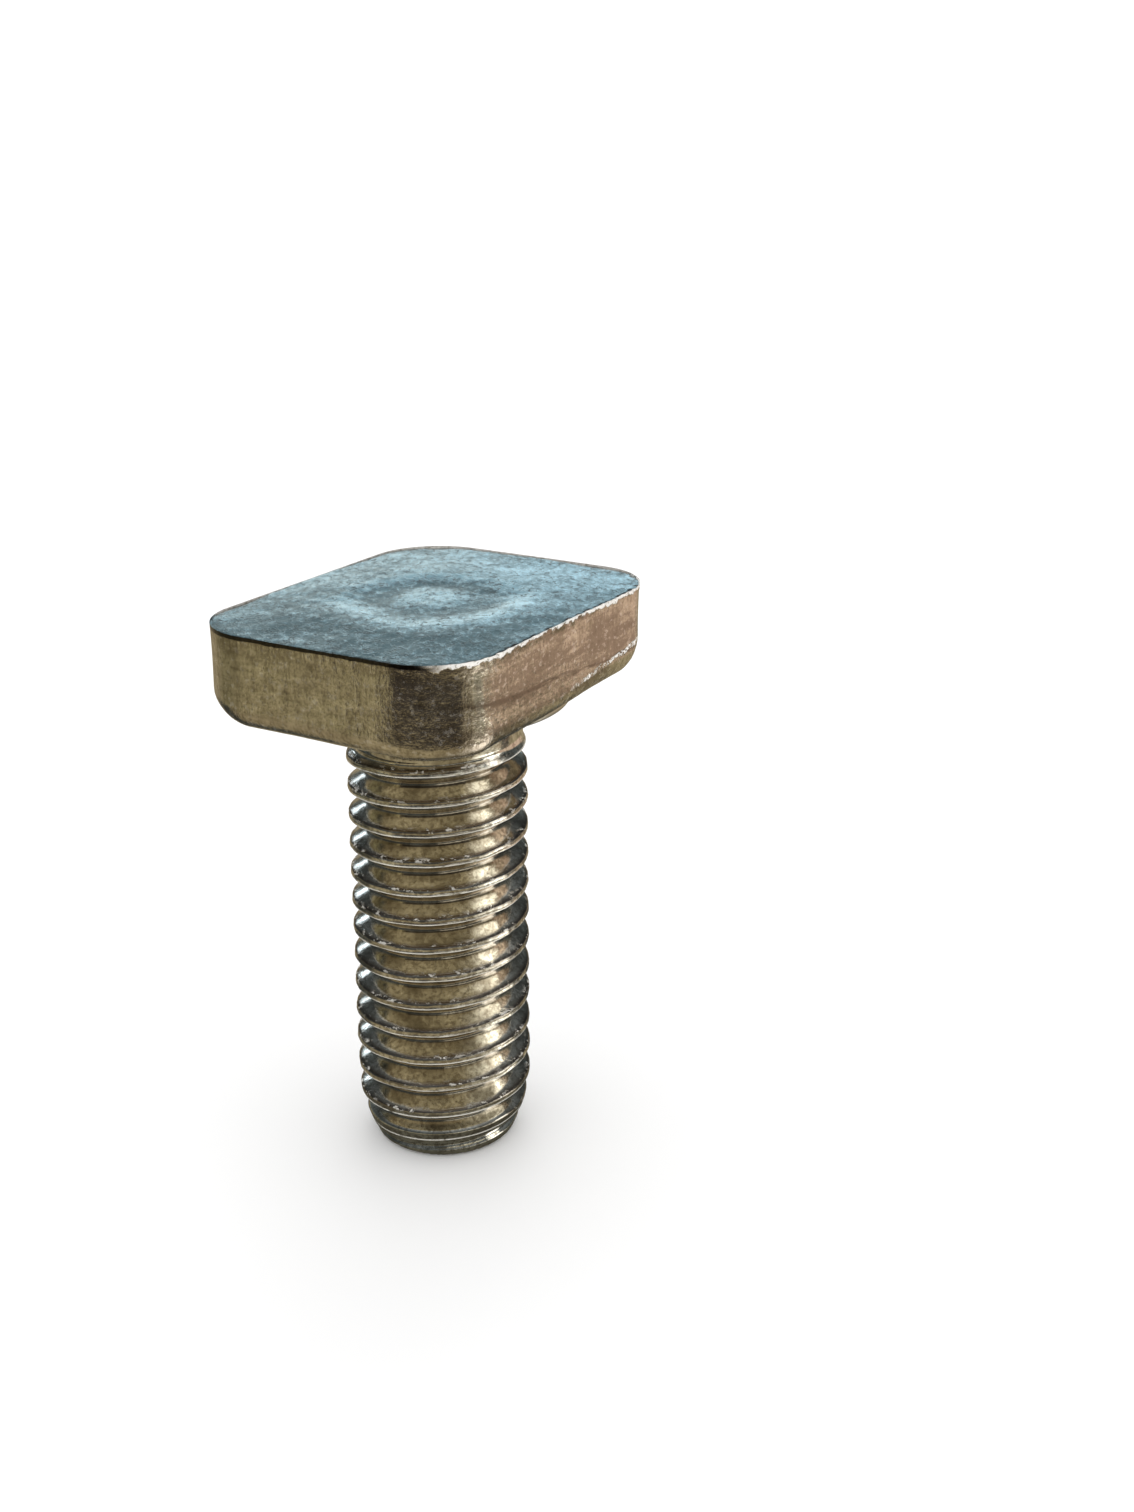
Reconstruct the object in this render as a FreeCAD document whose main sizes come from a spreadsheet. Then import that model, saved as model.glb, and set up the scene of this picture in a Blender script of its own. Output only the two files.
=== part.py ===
import FreeCAD, Part
import math
import os
import Sketcher

# Square head bolt, M6 x 16, cold forged in one piece from stainless wire.
#
# The bolt stands on its threaded end with its head up. The origin is the centre of that end,
# +Z runs up the shank, and the sides of the head lie along X and Y.
#
# The shank comes first: a core at the root of the thread, the rolled ridge wound round it, and
# the plain neck and the rounded end that trim the ridge. The forged head closes the top.

DRIVING_SIZES = {
    # head
    "head_width": (9.85, "side of the head along X"),
    "head_length": (12.75, "side of the head along Y"),
    "head_height": (3.25, "bearing face to top of head"),
    "corner_radius": (2.35, "round on the four upright corners"),
    "underside_radius": (0.9, "round that the die left on the lower edge"),
    "washer_diameter": (8.7, "round bearing face under the head"),
    "washer_height": (0.22, "how far the bearing face stands proud"),
    "dish_diameter": (5.9, "shallow mark of the punch in the top"),
    "dish_depth": (0.08, "depth of the punch mark"),
    "dish_slope": (0.5, "width of the soft step round the mark"),
    # shank
    "shank_length": (15.55, "bearing face to threaded end"),
    "neck_inset": (0.165, "crests in to the plain part between thread and head"),
    "neck_length": (1.3, "height of the plain part"),
    "neck_flare": (0.25, "slope that carries the neck into the bearing face"),
    # thread
    "crest_diameter": (5.88, "over the crests of the thread"),
    "thread_pitch": (1.0, "coarse pitch of M6"),
    "thread_depth": (0.6, "crest to root"),
    "crest_width": (0.2, "land on the crests"),
    "flank_angle": (30.0, "each flank to the plane across the axis, in degrees"),
    "first_crest": (0.1, "height of the first crest at +X above the end"),
    # threaded end
    "end_inset": (0.74, "crests in to the flat end face"),
    "end_chamfer": (0.18, "small bevel round the end face"),
    "point_inset": (0.24, "crests in to the middle of the tapered point"),
    "point_middle": (1.0, "height of the middle of the point"),
    "point_length": (2.1, "height where the crests reach their full size"),
}

RIDGE_SINK = 0.06  # how far the ridge reaches into the core, so that they join
CUT_MARGIN = 1.0  # how far a cutting section reaches past what it cuts
TURNS_BELOW = 2  # turns of the ridge that start below the end face and are cut away


class Length:
    """A number together with the sheet expression that drives it."""

    def __init__(self, value, text):
        self.value = value
        self.text = text

    def _with(self, sign, other, value):
        text = other.text if isinstance(other, Length) else repr(float(other))
        return Length(value, f"({self.text} {sign} {text})")

    def __add__(self, other):
        return self._with("+", other, self.value + number(other))

    def __sub__(self, other):
        return self._with("-", other, self.value - number(other))

    def __mul__(self, other):
        return self._with("*", other, self.value * number(other))

    def __truediv__(self, other):
        return self._with("/", other, self.value / number(other))


def number(length):
    """The plain number of a Length, or of a number."""
    return length.value if isinstance(length, Length) else float(length)


def tangent(angle):
    """Tangent of a Length that holds an angle in degrees."""
    return Length(math.tan(math.radians(angle.value)), f"tan({angle.text} * 1deg)")


def fill_sheet(doc):
    """Write the driving sizes into a spreadsheet and return them as Lengths by alias."""
    sheet = doc.addObject("Spreadsheet::Sheet", "Sizes")
    lengths = {}
    for row, (alias, (value, note)) in enumerate(DRIVING_SIZES.items(), start=1):
        sheet.set(f"A{row}", note)
        sheet.set(f"B{row}", str(value))
        sheet.setAlias(f"B{row}", alias)
        lengths[alias] = Length(value, f"Sizes.{alias}")
    doc.recompute()
    return lengths


def origin_feature(body, role):
    """One of the body's own origin planes or axes."""
    return next(item for item in body.Origin.OriginFeatures if item.Role == role)


def add_sketch(body, name, plane):
    sketch = body.newObject("Sketcher::SketchObject", name)
    sketch.AttachmentSupport = [(origin_feature(body, plane), "")]
    sketch.MapMode = "FlatFace"
    return sketch


def add_driven(sketch, name, constraint, length):
    """Add a dimension to a sketch and tie it to the sheet."""
    index = sketch.addConstraint(constraint)
    sketch.renameConstraint(index, name)
    if isinstance(length, Length):
        sketch.setExpression(f"Constraints.{name}", length.text)


def place_point(sketch, geometry, end, name, along, length):
    """Hold one point at a distance from the sketch's origin, along X or along Y."""
    value = number(length)
    kind = f"Distance{along}"
    if value == 0.0:
        axis = -2 if along == "X" else -1
        sketch.addConstraint(Sketcher.Constraint("PointOnObject", geometry, end, axis))
    elif value > 0:
        constraint = Sketcher.Constraint(kind, -1, 1, geometry, end, value)
        add_driven(sketch, name, constraint, length)
    else:
        constraint = Sketcher.Constraint(kind, geometry, end, -1, 1, -value)
        add_driven(sketch, name, constraint, length * -1)


def arc_between(start, stop, radius):
    """Arc of a given radius from start to stop that bulges to the right of that direction,
    and whether its own direction is the other way."""
    chord = stop - start
    right = FreeCAD.Vector(chord.y, -chord.x, 0).normalize()
    height = radius - math.sqrt(radius**2 - (chord.Length / 2) ** 2)
    arc = Part.Arc(start, (start + stop) / 2 + right * height, stop)
    backwards = arc.StartPoint.distanceToPoint(start) > arc.StartPoint.distanceToPoint(stop)
    return arc, backwards


def draw_outline(sketch, points, arcs=None):
    """Draw a closed outline anticlockwise through points and tie every point to the sheet.

    arcs maps the number of a stretch to its radius, if it is an arc that bulges outwards."""
    arcs = arcs or {}
    corners = [FreeCAD.Vector(number(x), number(y), 0) for x, y in points]
    ends = []
    for index, start in enumerate(corners):
        stop = corners[(index + 1) % len(corners)]
        edge, backwards = Part.LineSegment(start, stop), False
        if index in arcs:
            edge, backwards = arc_between(start, stop, number(arcs[index]))
        geometry = sketch.addGeometry(edge, False)
        ends.append((geometry, 2, 1) if backwards else (geometry, 1, 2))
    for index, (geometry, first, last) in enumerate(ends):
        following, its_first, _ = ends[(index + 1) % len(ends)]
        joint = Sketcher.Constraint("Coincident", geometry, last, following, its_first)
        sketch.addConstraint(joint)
        place_point(sketch, geometry, first, f"across{index}", "X", points[index][0])
        place_point(sketch, geometry, first, f"up{index}", "Y", points[index][1])
        if index in arcs:
            radius = Sketcher.Constraint("Radius", geometry, number(arcs[index]))
            add_driven(sketch, f"round{index}", radius, arcs[index])


def turn(body, kind, name, sketch):
    """Turn a section once round the Z axis, to add (Revolution) or to cut (Groove)."""
    feature = body.newObject(f"PartDesign::{kind}", name)
    feature.Profile = sketch
    feature.ReferenceAxis = (origin_feature(body, "Z_Axis"), [""])
    feature.Angle = 360.0


def make_core(body, size):
    """Root cylinder of the thread, which widens to the plain neck and runs on into the head."""
    crest = size["crest_diameter"] / 2
    root = crest - size["thread_depth"]
    neck = crest - size["neck_inset"]
    neck_foot = size["shank_length"] - size["neck_length"]
    top = size["shank_length"] + size["washer_height"]
    sketch = add_sketch(body, "CoreSection", "XZ_Plane")
    draw_outline(sketch, [
        (0, 0),
        (root, 0),
        (root, neck_foot - (neck - root)),
        (neck, neck_foot),
        (neck, top),
        (0, top),
    ])
    turn(body, "Revolution", "Core", sketch)


def make_ridge(body, size):
    """The rolled ridge: one tooth swept up a right-hand helix, from below the end face to
    inside the neck."""
    crest = size["crest_diameter"] / 2
    base = crest - size["thread_depth"] - RIDGE_SINK
    crest_half = size["crest_width"] / 2
    base_half = crest_half + (crest - base) * tangent(size["flank_angle"])
    start = size["thread_pitch"] * -TURNS_BELOW + size["first_crest"]
    sketch = add_sketch(body, "ToothSection", "XZ_Plane")
    draw_outline(sketch, [
        (base, start - base_half),
        (crest, start - crest_half),
        (crest, start + crest_half),
        (base, start + base_half),
    ])
    ridge = body.newObject("PartDesign::AdditiveHelix", "Ridge")
    ridge.Profile = sketch
    ridge.ReferenceAxis = (origin_feature(body, "Z_Axis"), [""])
    ridge.setExpression("Pitch", size["thread_pitch"].text)
    middle_of_neck = size["shank_length"] - size["neck_length"] / 2
    ridge.setExpression("Height", (middle_of_neck - start).text)


def trim_neck(body, size):
    """Take the ridge down to the plain neck, with a slope where the crests fade out."""
    neck = size["crest_diameter"] / 2 - size["neck_inset"]
    outside = size["crest_diameter"] / 2 + CUT_MARGIN
    foot = size["shank_length"] - size["neck_length"]
    sketch = add_sketch(body, "NeckCut", "XZ_Plane")
    draw_outline(sketch, [
        (neck, foot),
        (outside, foot - (outside - neck)),
        (outside, size["shank_length"]),
        (neck, size["shank_length"]),
    ])
    turn(body, "Groove", "Neck", sketch)


def taper_point(body, size):
    """Cut the end flat, bevel its edge and taper the last turns, so that a nut starts easily."""
    outside = size["crest_diameter"] / 2
    below = size["thread_pitch"] * -(TURNS_BELOW + 1)
    middle = outside - size["point_inset"]
    end = outside - size["end_inset"]
    widening = (outside - middle) / (size["point_length"] - size["point_middle"])
    sketch = add_sketch(body, "PointCut", "XZ_Plane")
    draw_outline(sketch, [
        (0, 0),
        (0, below),
        (outside + widening * CUT_MARGIN, below),
        (outside + widening * CUT_MARGIN, size["point_length"] + CUT_MARGIN),
        (middle, size["point_middle"]),
        (end + size["end_chamfer"], size["end_chamfer"]),
        (end, 0),
    ])
    turn(body, "Groove", "Point", sketch)


def make_head(body, size):
    """Forged head: a slab with upright rounded corners and a soft lower edge."""
    side_x = size["head_width"] / 2
    side_y = size["head_length"] / 2
    corner = size["corner_radius"]
    bottom = size["shank_length"] + size["washer_height"]
    shank_radius = size["crest_diameter"].value / 2
    sketch = add_sketch(body, "HeadOutline", "XY_Plane")
    sketch.setExpression("AttachmentOffset.Base.z", bottom.text)
    draw_outline(sketch, [
        (side_x, corner - side_y),
        (side_x, side_y - corner),
        (side_x - corner, side_y),
        (corner - side_x, side_y),
        (side_x * -1, side_y - corner),
        (side_x * -1, corner - side_y),
        (corner - side_x, side_y * -1),
        (side_x - corner, side_y * -1),
    ], arcs={stretch: corner for stretch in (1, 3, 5, 7)})
    slab = body.newObject("PartDesign::Pad", "HeadSlab")
    slab.Profile = sketch
    slab.setExpression("Length", (size["head_height"] - size["washer_height"]).text)
    body.Document.recompute()

    lower_edges = [
        f"Edge{index}" for index, edge in enumerate(slab.Shape.Edges, start=1)
        if edge.BoundBox.ZMax < bottom.value + slab.Length.Value / 2
        and math.hypot(edge.CenterOfMass.x, edge.CenterOfMass.y) > shank_radius
    ]
    soft_edge = body.newObject("PartDesign::Fillet", "SoftLowerEdge")
    soft_edge.Base = (slab, lower_edges)
    soft_edge.setExpression("Radius", size["underside_radius"].text)


def make_washer_face(body, size):
    """Low round bearing face under the head, with the flare that carries it to the neck."""
    neck = size["crest_diameter"] / 2 - size["neck_inset"]
    washer = size["washer_diameter"] / 2
    flare = size["neck_flare"]
    bearing = size["shank_length"]
    inside_head = bearing + size["washer_height"] + size["underside_radius"]
    sketch = add_sketch(body, "WasherSection", "XZ_Plane")
    draw_outline(sketch, [
        (0, bearing - flare),
        (neck, bearing - flare),
        (neck + flare, bearing),
        (washer, bearing),
        (washer, inside_head),
        (0, inside_head),
    ])
    turn(body, "Revolution", "WasherFace", sketch)


def press_dish(body, size):
    """Shallow round mark that the heading punch leaves in the top."""
    rim = size["dish_diameter"] / 2
    top = size["shank_length"] + size["head_height"]
    floor = top - size["dish_depth"]
    sketch = add_sketch(body, "DishSection", "XZ_Plane")
    draw_outline(sketch, [
        (0, floor),
        (rim - size["dish_slope"], floor),
        (rim, top),
        (rim, top + CUT_MARGIN),
        (0, top + CUT_MARGIN),
    ])
    turn(body, "Groove", "PunchMark", sketch)


def make_bolt(doc, size):
    bolt = doc.addObject("PartDesign::Body", "Bolt")
    bolt.Label = "bolt"
    volume = 0.0
    for make_step in (make_core, make_ridge, trim_neck, taper_point,
                      make_head, make_washer_face, press_dish):
        make_step(bolt, size)
        doc.recompute()
        change = bolt.Shape.Volume - volume
        volume += change
        print(f"{bolt.Tip.Label}: {change:+.2f} mm3")
        if abs(change) < 0.01:
            raise RuntimeError(f"{bolt.Tip.Label} changed nothing")
    return bolt


def check(doc, parts):
    """Stop unless every object recomputed well and every part is one valid solid."""
    for item in doc.Objects:
        if "Invalid" in item.State or "Error" in item.State:
            raise RuntimeError(f"{item.Label} did not recompute")
    for part in parts:
        if part.Shape.isNull() or not part.Shape.isValid() or len(part.Shape.Solids) != 1:
            raise RuntimeError(f"{part.Label} is not one valid solid")


doc = FreeCAD.newDocument("square_head_bolt")
size = fill_sheet(doc)
parts = [make_bolt(doc, size)]
check(doc, parts)

os.makedirs("parts", exist_ok=True)
for part in parts:
    part.Shape.exportStep(f"parts/{part.Label}.step")
    box = part.Shape.BoundBox
    print(f"{part.Label}: {part.Shape.Volume:.1f} mm3, "
          f"{box.XLength:.2f} x {box.YLength:.2f} x {box.ZLength:.2f} mm")
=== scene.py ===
# %% [markdown]
# # A square head bolt, dressed for its photograph
#
# The bolt is one piece of stainless steel. A heading press strikes its square head from wire, and
# two dies roll its thread. CAD already holds the exact solid, and this lesson loads it as a fixed
# frame. The bolt is then built again as three fine surfaces that keep the marks of those machines:
# the threaded shank, the head, and the round bearing face under it.

# %% Load the frame
import math
import bpy
import numpy as np
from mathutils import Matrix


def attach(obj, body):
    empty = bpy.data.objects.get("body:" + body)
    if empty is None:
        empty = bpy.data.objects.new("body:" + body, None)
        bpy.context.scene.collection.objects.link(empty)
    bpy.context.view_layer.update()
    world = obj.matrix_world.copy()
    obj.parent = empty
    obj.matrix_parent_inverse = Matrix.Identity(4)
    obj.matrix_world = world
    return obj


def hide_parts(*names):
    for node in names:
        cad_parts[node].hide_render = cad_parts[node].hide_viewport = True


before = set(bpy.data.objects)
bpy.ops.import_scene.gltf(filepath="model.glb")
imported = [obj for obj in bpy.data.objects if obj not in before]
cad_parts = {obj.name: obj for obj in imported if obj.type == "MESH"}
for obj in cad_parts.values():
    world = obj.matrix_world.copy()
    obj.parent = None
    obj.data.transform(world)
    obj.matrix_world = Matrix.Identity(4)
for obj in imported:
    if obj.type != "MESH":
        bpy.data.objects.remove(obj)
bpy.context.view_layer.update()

# %% [markdown]
# ## Sizes
#
# All lengths are in millimetres, as on a maker's drawing, and are turned into metres only when a
# mesh is written. The origin is the centre of the threaded end, and Z runs up to the head. The
# camera looks at the corner of the head between +X and -Y.

# %% Sizes of the bolt
MM = 0.001

HEAD_X, HEAD_Y = 9.85 / 2, 12.75 / 2  # half sides of the head
CORNER = 2.35  # round on its upright corners
TOP_EDGE = 0.07  # round on its upper edge
HEAD_TOP = 18.8
HEAD_FOOT = 15.77  # flat underside of the head
BEARING = 15.55  # bearing face, 0.22 lower
WASHER = 8.7 / 2  # radius of the bearing face
DISH = 2.95  # radius of the punch mark
DISH_DEPTH = 0.08

PITCH = 1.0
CREST = 2.94  # radius over the crests
ROOT = 2.34
NECK = 2.775
NECK_FOOT = 14.25
FIRST_CREST = 0.10  # height of the crest at +X above the end
FLANK = math.tan(math.radians(30))
LAND = 0.085  # half the width of the crest

print("length under the head:", BEARING, "mm, turns of thread:", round(NECK_FOOT / PITCH, 1))

# %% [markdown]
# ## Soft steps and soft limits
#
# Pressed steel has no knife edges, so where two forms meet, one runs softly into the other. A
# Bevel modifier could round an edge, but it needs the edge to be there first. Three small
# functions round a form while it is still a formula.

# %% Formulas that round
def smooth_steps(value, low, high):
    """0 below low, 1 above high, and between them the soft curve 3t squared minus 2t cubed."""
    t = np.clip((value - low) / (high - low), 0, 1)
    return t * t * (3 - 2 * t)


def soft_min(a, b, reach):
    """The smaller of two, rounded over where they come nearer than reach to each other."""
    h = np.clip(0.5 + 0.5 * (b - a) / reach, 0, 1)
    return b + (a - b) * h - reach * h * (1 - h)


def soft_max(a, b, reach):
    """The larger of two, rounded in the same way."""
    return -soft_min(-a, -b, reach)


print("the smaller of 1 and 1, rounded over 0.2:", float(soft_min(1.0, 1.0, 0.2)))

# %% [markdown]
# ## From a grid of points to a closed skin
#
# Each piece is a grid of points worked out with numpy. The grid is closed round the bolt's axis,
# and both of its ends shrink to one point, so that the surface is a closed skin. Points that fall
# on the same place at an end are merged into one, and faces with fewer than three corners left
# are dropped. Each point may carry a few numbers that the finishes read later, such as how near
# it is to the crest of the thread.

# %% Write a skin of points into a mesh
def skin(name, points, faces, **fields):
    """Make an object from points in mm, shape (n, 3), and quads, shape (m, 4).

    Each field is one number for each point, kept as an attribute that the finishes read."""
    keys = np.round(points * 1e5).astype(np.int64)
    _, first, same = np.unique(keys, axis=0, return_index=True, return_inverse=True)
    faces = same.reshape(-1)[faces]
    following = np.roll(faces, -1, axis=1)
    keep = faces != following
    faces, keep = faces[keep.sum(axis=1) >= 3], keep[keep.sum(axis=1) >= 3]
    counts = keep.sum(axis=1)
    mesh = bpy.data.meshes.new(name)
    mesh.vertices.add(len(first))
    mesh.vertices.foreach_set("co", (points[first] * MM).astype(np.float32).ravel())
    mesh.loops.add(int(counts.sum()))
    mesh.loops.foreach_set("vertex_index", faces[keep].astype(np.int32))
    mesh.polygons.add(len(counts))
    starts = np.concatenate([[0], np.cumsum(counts)[:-1]])
    mesh.polygons.foreach_set("loop_start", starts.astype(np.int32))
    mesh.update(calc_edges=True)
    mesh.shade_smooth()
    for label, values in fields.items():
        layer = mesh.attributes.new(label, "FLOAT", "POINT")
        layer.data.foreach_set("value", values.reshape(-1)[first].astype(np.float32))
    piece = bpy.data.objects.new(name, mesh)
    bpy.context.collection.objects.link(piece)
    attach(piece, "root")
    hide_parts("bolt")
    triangles = int((counts - 2).sum())
    print(f"{name}: {len(first)} points, {triangles} triangles, valid: {not mesh.validate()}")
    return piece


# %% [markdown]
# ## Seeded waviness
#
# No two turns of a rolled thread are quite alike, and no struck face is quite flat. A few dozen
# sine waves, laid in all directions and added up, give such a soft unevenness. Their numbers come
# from a seeded dice, so every run gives the same bolt.

# %% Fields of sine waves
def waves(seed, count, low, high):
    """Draw the numbers of a smooth random field: directions, lengths and phases of sine waves
    whose wavelengths lie between low and high, in mm."""
    dice = np.random.default_rng(seed)
    way = dice.normal(size=(count, 3))
    way /= np.linalg.norm(way, axis=1, keepdims=True)
    length = np.exp(dice.uniform(np.log(low), np.log(high), count))
    return way * (2 * np.pi / length)[:, None], dice.uniform(0, 2 * np.pi, count)


def ripple(points, field):
    """The field at each point: the sum of its sine waves, with a spread of about 1."""
    vectors, phases = field
    total = sum(np.sin(points @ vector + phase) for vector, phase in zip(vectors, phases))
    return total * math.sqrt(2 / len(phases))


WAVER = waves(11, 24, 0.8, 5.0)
CHATTER = waves(12, 24, 0.25, 0.6)
print("sine waves in the waver and the chatter of the thread:", len(WAVER[1]), len(CHATTER[1]))

# %% [markdown]
# ## The rolled thread
#
# A thread is rolled, not cut: the dies press a groove into the wire, and the steel rises between
# their teeth into crests. The crest keeps a shallow seam where the two waves of steel met, with a
# thin lip on each side of it. These lips catch the light as two fine lines round every turn.
#
# A triangle with a flat top would be the drawing of a thread, and it looks machined. Here the
# section is rounded much more on the upper side of the crest than on the lower one, as the photo
# shows, and the root is rounded too.

# %% Section of the thread
UPPER_ROUND, LOWER_ROUND = 0.11, 0.035  # rounding of the crest on its two sides
ROOT_ROUND = 0.16
SEAM_DEPTH, SEAM_WIDTH = 0.02, 0.05


def tooth(height):
    """Radius of the thread at a height in mm from the middle of its crest.

    The straight flank falls away from the land by its distance over the tangent of 30 degrees. It
    is rounded into the crest, three times as much on the upper side as on the lower one, and into
    the root. The seam is a small dip."""
    away = np.abs(height)
    flank = CREST - (away - LAND) / FLANK
    seam = SEAM_DEPTH * np.exp(-(away / SEAM_WIDTH) ** 2)
    crest_round = np.where(height > 0, UPPER_ROUND, LOWER_ROUND)
    return soft_max(soft_min(flank, CREST, crest_round), ROOT - 0.03, ROOT_ROUND) - seam


# heights of the rows over half a pitch, closest together on the crest and its lips
HALF_TURN = np.array([0, 0.035, 0.06, 0.075, 0.088, 0.105, 0.125, 0.15, 0.20, 0.27, 0.34,
                      0.375, 0.41, 0.44, 0.47])
SECTION = np.concatenate([HALF_TURN, [0.5], PITCH - HALF_TURN[:0:-1]])
print("rows in one turn:", len(SECTION))
print("radius on the lip and in the root:", np.round(tooth(np.array([0.08, 0.5])), 3))

# %% [markdown]
# ## Where the thread starts and stops
#
# The thread doesn't run on for ever. Its end tapers to a flat face, so that a nut finds its way
# on, and its last turn fades into a plain neck under the head. A boolean cut with a cone would
# leave sliver faces. Instead, both are a limit on the radius that depends on the height alone.
# Below the end face and above the bearing face the rows run in to the axis and close the skin.

# %% Limits of the shank
END_PROFILE = np.array([(0.0, 2.17), (0.05, 2.27), (0.14, 2.38), (0.6, 2.58), (1.15, 2.76),
                        (1.65, 2.87), (2.2, 2.935), (2.6, 2.96)])  # height, radius
END_RADIUS = END_PROFILE[0, 1]
TOP_OF_SHANK = 15.95
FLARE = 0.22  # the neck widens by this much into the bearing face


def flare(z):
    """How much wider the neck is at a height, just under the bearing face."""
    return FLARE * smooth_steps(z, BEARING - 0.3, BEARING) ** 2


def outer_limit(z):
    """Largest radius at a height: the point's profile, then the slope down to the neck, and the
    small flare that carries the neck into the bearing face."""
    point = np.interp(z, END_PROFILE[:, 0], END_PROFILE[:, 1])
    sinks = smooth_steps(z, NECK_FOOT - 0.35, NECK_FOOT + 0.05)
    fade = CREST + 0.02 - (CREST - NECK + 0.02) * sinks
    return np.minimum(point, fade) + flare(z)


def inner_limit(z):
    """Smallest radius at a height: the root, which fills up to the neck over the last turn."""
    fills = smooth_steps(z, NECK_FOOT - 0.6, NECK_FOOT + 0.05)
    return ROOT - 0.1 + (NECK + flare(z) - ROOT + 0.1) * fills


print("radius of the end and of the neck:", END_RADIUS, round(float(inner_limit(NECK_FOOT + 0.5)), 3))

# %% [markdown]
# ## A lattice on the helix
#
# A screw could be made with the Screw modifier, but the grid here is a lattice on the helix
# itself: one step round the axis also climbs by its share of the pitch. The lines of the mesh
# follow the crests, so they stay sharp with few faces. At the seam, each row joins the row that
# lies one whole turn above it.

# %% Wind the lattice
COLUMNS = 168
TURNS_BELOW, TURNS = 3, 20


def wind_thread():
    """Lattice of points: column i stands at the angle i / COLUMNS of a turn, and its rows lie at
    the heights of the section, raised by the same share of the pitch."""
    rows = len(SECTION)
    turn, step = np.divmod(np.arange(TURNS * rows), rows)
    lift = np.arange(COLUMNS) / COLUMNS
    level = FIRST_CREST + PITCH * (turn - TURNS_BELOW + lift[:, None]) + SECTION[step]
    nearest = np.abs(level).argmin(axis=1)
    level[np.arange(COLUMNS), nearest] = 0.0
    angle = np.broadcast_to(2 * np.pi * lift[:, None], level.shape)
    from_crest = np.where(SECTION[step] > PITCH / 2, SECTION[step] - PITCH, SECTION[step])
    from_crest = np.broadcast_to(from_crest, level.shape)
    return angle, level, from_crest


def lattice_faces(columns, rows, shift):
    """Quads of the lattice. The last column joins the first one turn further up, by shift rows."""
    column, row = np.meshgrid(np.arange(columns), np.arange(rows - 1 - shift), indexing="ij")
    last = column == columns - 1
    right = (column + 1) % columns
    offset = np.where(last, shift, 0)
    quads = [column * rows + row, right * rows + row + offset,
             right * rows + row + 1 + offset, column * rows + row + 1]
    return np.stack(quads, axis=-1).reshape(-1, 4)


angle, level, from_crest = wind_thread()
print("lattice, columns by rows:", level.shape)

# %% [markdown]
# ## The shape of every turn
#
# The dies press each turn a little differently: its crest wavers up and down, and it is filled
# more in one place than in another. Both moves fade away from the crest, because the root is
# pressed by the solid tips of the dies.

# %% Radius at every point of the lattice
round_axis = np.stack([2.9 * np.cos(angle), 2.9 * np.sin(angle), level], axis=-1)
waver = ripple(round_axis, WAVER)
chatter = ripple(round_axis, CHATTER)
near_crest = np.exp(-(from_crest / 0.16) ** 2)
radius = tooth(from_crest - 0.010 * waver * near_crest)
radius = radius - near_crest * (0.010 + 0.006 * waver + 0.005 * chatter)
radius = soft_max(soft_min(radius, outer_limit(level), 0.04), inner_limit(level), 0.06)
print("radius, smallest and largest:", round(float(radius.min()), 3), round(float(radius.max()), 3))

# %% [markdown]
# A closed skin has no open rim. Below the end face the rows shrink towards the axis at the
# height of the face, which makes the flat end. Above the bearing face they do the same inside
# the head, where they are hidden.

# %% Close both ends
radius = np.where(level <= 0, END_RADIUS * np.clip(1 + level / 1.5, 0, 1), radius)
closing = np.clip(1 - (level - TOP_OF_SHANK) / 0.6, 0, 1)
radius = np.where(level > TOP_OF_SHANK, radius * closing, radius)
height = np.clip(level, 0, TOP_OF_SHANK)
points = np.stack([radius * np.cos(angle), radius * np.sin(angle), height], axis=-1)
print("length of the shank with its hidden top:", float(height.max()), "mm")

# %% [markdown]
# ## What the thread tells its finish
#
# The finish of the thread changes across each turn: the crest is duller, the upper lip is dark
# with painted glints, the lower lip carries a thin painted highlight, and the root carries painted
# shade. A noise knows nothing of crests, so the mesh carries four fields for it, each a soft bell
# round its own height on the section.

# %% Fields of the thread
def bell(distance, width):
    """1 at no distance, falling off softly over the width on both sides."""
    return np.exp(-(distance / width) ** 2)


on_thread = (height > 0.02) * (height < NECK_FOOT)
full_turns = (height > 1.2) * (height < NECK_FOOT - 0.1)
thread_fields = {
    "crest": bell(from_crest, 0.13) * on_thread,
    "upper_lip": bell(from_crest - 0.115, 0.050) * full_turns,
    "lower_lip": bell(from_crest + 0.088, 0.024) * (height > 0.3) * (height < NECK_FOOT + 0.2),
    # root: where the finish paints shade into the root, under each crest
    "root": bell(np.abs(from_crest) - 0.5, 0.13) * (height > 1.0) * (height < NECK_FOOT),
}
faces = lattice_faces(COLUMNS, level.shape[1], len(SECTION))
thread = skin("rolled_thread", points.reshape(-1, 3), faces, **thread_fields)

# %% [markdown]
# ## The outline of the head
#
# The head is struck between a die and a punch, and a trimming tool then shears its four sides. It
# has large rounded corners, and it is almost a third longer along Y than along X.
#
# A bevelled cube would have the right outline and none of the marks. Here the head is a profile
# carried round its own outline: each column is one point of the outline, and its rows run from the
# middle of the top out to the edge, down the side, round the soft edge and back in underneath.

# %% Outline of the head
SIDES = 400


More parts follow.
